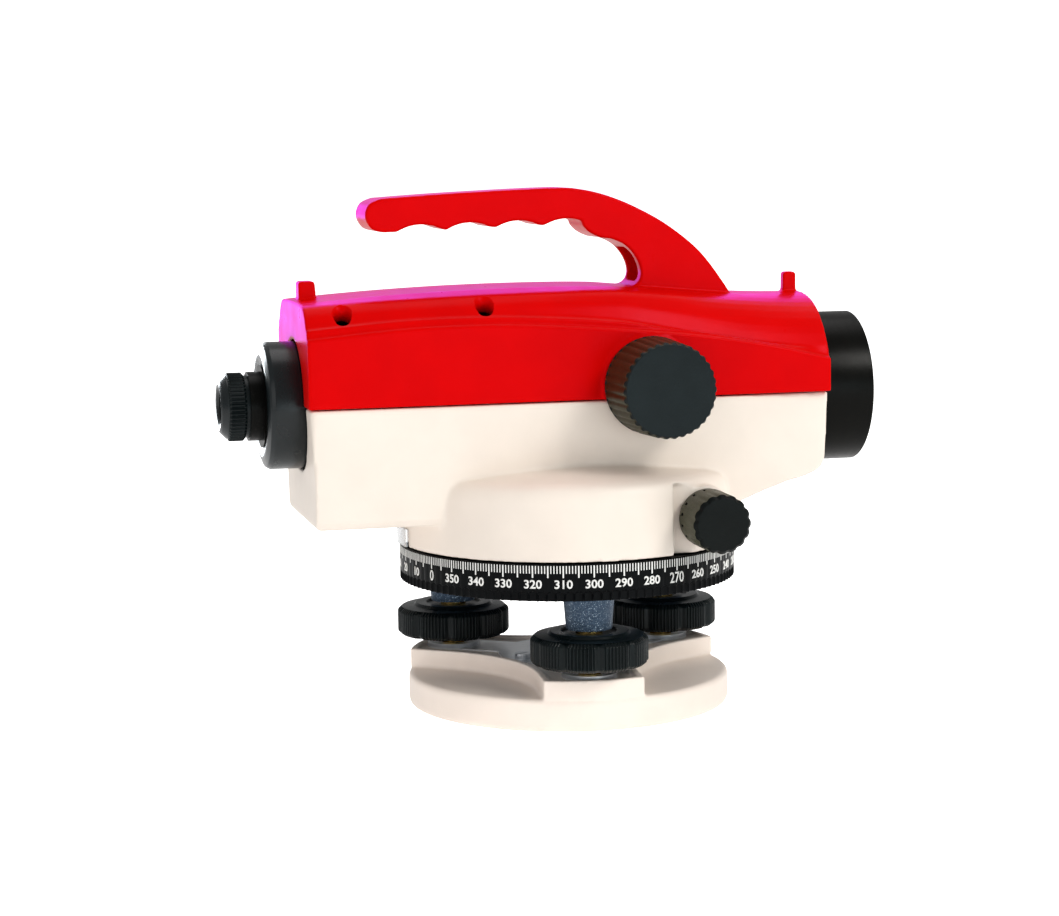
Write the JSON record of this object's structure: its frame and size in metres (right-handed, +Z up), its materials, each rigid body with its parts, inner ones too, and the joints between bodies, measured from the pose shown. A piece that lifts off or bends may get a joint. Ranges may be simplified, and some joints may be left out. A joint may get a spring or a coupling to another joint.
{
  "type": "automatic level",
  "caption": "Surveyor's automatic level with a carrying handle, graduated circle, endless tangent drive and footscrew base for a tripod.",
  "frame": {"origin": "centre of the base plate's underside, at the mouth of the tripod thread, on the vertical axis", "axes": "+Z up along the vertical axis, +X from the eyepiece towards the objective, -Y towards the focus knob"},
  "size_m": [0.2029, 0.1228, 0.1608],
  "materials": {
    "cream_paint": "satin warm cream paint",
    "ivory_paint": "satin ivory paint",
    "red_plastic": "moulded satin red",
    "spring_steel": "bright leaf spring",
    "steel": "turned steel",
    "blue_grey_paint": "blue-grey hammertone",
    "brass": "turned brass",
    "bronze": "bearing bronze",
    "black_plastic": "moulded black",
    "black_gloss_plastic": "smooth black",
    "circle_black": "black with white graduations",
    "clear_plastic": "clear acrylic",
    "black_anodised": "black anodised",
    "optical_glass": "coated glass",
    "cast_alloy": "machined casting",
    "magnet": "plated magnet",
    "vial_fluid": "yellow-green fluid",
    "mirror": "front-silvered mirror",
    "black_rubber": "rubbery black"
  },
  "bodies": {
    "base": {"base_plate": "cream_paint", "spring_plate": "spring_steel", "spring_plate_screws": "steel", "foot_washers": "steel"},
    "tribrach": {"tribrach": "blue_grey_paint", "footscrew_bushes": "brass", "spindle_bush": "bronze"},
    "front_footscrew": {"footscrew_front": "brass", "footscrew_knob_front": "black_plastic"},
    "left_footscrew": {"footscrew_left": "brass", "footscrew_knob_left": "black_plastic"},
    "right_footscrew": {"footscrew_right": "brass", "footscrew_knob_right": "black_plastic"},
    "circle": {"graduated_circle": "circle_black"},
    "alidade": {"lower_housing": "ivory_paint", "top_cover": "red_plastic", "cover_screws": "steel", "index_window": "clear_plastic", "spindle": "steel", "spindle_screws": "steel", "spindle_nut": "steel", "worm_bushes": "brass", "focus_bush": "brass", "telescope_tube": "black_anodised", "objective_barrel": "black_anodised", "objective_crown_lens": "optical_glass", "objective_flint_lens": "optical_glass", "objective_retainer": "black_anodised", "compensator_frame": "cast_alloy", "compensator_screws": "steel", "front_prism": "optical_glass", "roof_prism": "optical_glass", "damper_magnets": "magnet", "eyepiece_flange": "black_gloss_plastic", "eyepiece_tube": "black_anodised", "reticle_cell": "brass", "reticle_glass": "optical_glass", "reticle_screws": "steel", "vial_housing": "black_plastic", "vial_glass": "clear_plastic", "vial_fluid": "vial_fluid", "vial_screws": "steel", "vial_mirror": "mirror", "mirror_bracket": "black_plastic"},
    "pendulum": {"pendulum": "cast_alloy", "pendulum_prism": "optical_glass", "suspension_wires": "spring_steel"},
    "focus_drive": {"focus_knob": "black_rubber", "focus_pinion": "steel"},
    "focus_carriage": {"focus_cell": "black_anodised", "focus_lens": "optical_glass"},
    "tangent_drive": {"worm_shaft": "steel", "tangent_knob_near": "black_rubber", "tangent_knob_far": "black_rubber"},
    "worm_wheel": {"worm_wheel": "brass"},
    "eyepiece_barrel": {"eyepiece_cell": "black_anodised", "eyepiece_lenses": "optical_glass"},
    "eyepiece_ring": {"dioptre_ring": "black_plastic", "eyecup": "black_rubber"}
  },
  "joints": [
    {"name": "levelling_tilt", "type": "hinge", "parent": "base", "child": "tribrach", "pos_m": [-0.03213, 0.02234, 0.011], "axis": [-0.9965, 0.0838, 0], "range_deg": [-1.84, 1.84]},
    {"name": "front_footscrew_turn", "type": "hinge", "parent": "tribrach", "child": "front_footscrew", "pos_m": [-0.00328, -0.03899, 0.011], "axis": [0, 0, -1], "range_deg": [-900, 900]},
    {"name": "left_footscrew_turn", "type": "hinge", "parent": "tribrach", "child": "left_footscrew", "pos_m": [-0.03213, 0.02234, 0.011], "axis": [0, 0, -1], "range_deg": [-900, 900]},
    {"name": "right_footscrew_turn", "type": "hinge", "parent": "tribrach", "child": "right_footscrew", "pos_m": [0.03541, 0.01665, 0.011], "axis": [0, 0, -1], "range_deg": [-900, 900]},
    {"name": "circle_turn", "type": "hinge", "parent": "tribrach", "child": "circle", "pos_m": [0, 0, 0.045], "axis": [0, 0, 1], "continuous": true},
    {"name": "azimuth_turn", "type": "hinge", "parent": "tribrach", "child": "alidade", "pos_m": [0, 0, 0.05], "axis": [0, 0, 1], "continuous": true},
    {"name": "tangent_turn", "type": "hinge", "parent": "alidade", "child": "tangent_drive", "pos_m": [0.032, 0, 0.0623], "axis": [0, 1, 0], "continuous": true},
    {"name": "worm_wheel_turn", "type": "hinge", "parent": "alidade", "child": "worm_wheel", "pos_m": [0, 0, 0.0623], "axis": [0, 0, 1], "continuous": true},
    {"name": "focus_turn", "type": "hinge", "parent": "alidade", "child": "focus_drive", "pos_m": [0.0192, -0.04, 0.1014], "axis": [0, -1, 0], "range_deg": [-180, 180]},
    {"name": "focus_slide", "type": "slide", "parent": "alidade", "child": "focus_carriage", "axis": [1, 0, 0], "range_m": [-0.011, 0.011]},
    {"name": "dioptre_slide", "type": "slide", "parent": "alidade", "child": "eyepiece_barrel", "axis": [-1, 0, 0], "range_m": [-0.001, 0.001]},
    {"name": "dioptre_turn", "type": "hinge", "parent": "eyepiece_barrel", "child": "eyepiece_ring", "pos_m": [-0.103, 0, 0.0963], "axis": [-1, 0, 0], "range_deg": [-360, 360]},
    {"name": "pendulum_swing", "type": "hinge", "parent": "alidade", "child": "pendulum", "pos_m": [-0.027, 0, 0.103], "axis": [0, 1, 0], "range_deg": [-0.5, 0.5]}
  ],
  "couplings": [
    {"joint": "levelling_tilt", "follows": "front_footscrew_turn", "ratio": 0.0020337},
    {"joint": "worm_wheel_turn", "follows": "tangent_turn", "ratio": -0.0083333},
    {"joint": "focus_slide", "follows": "focus_turn", "m_per_rad": 0.0035},
    {"joint": "dioptre_slide", "follows": "dioptre_turn", "m_per_rad": 0.000159}
  ]
}
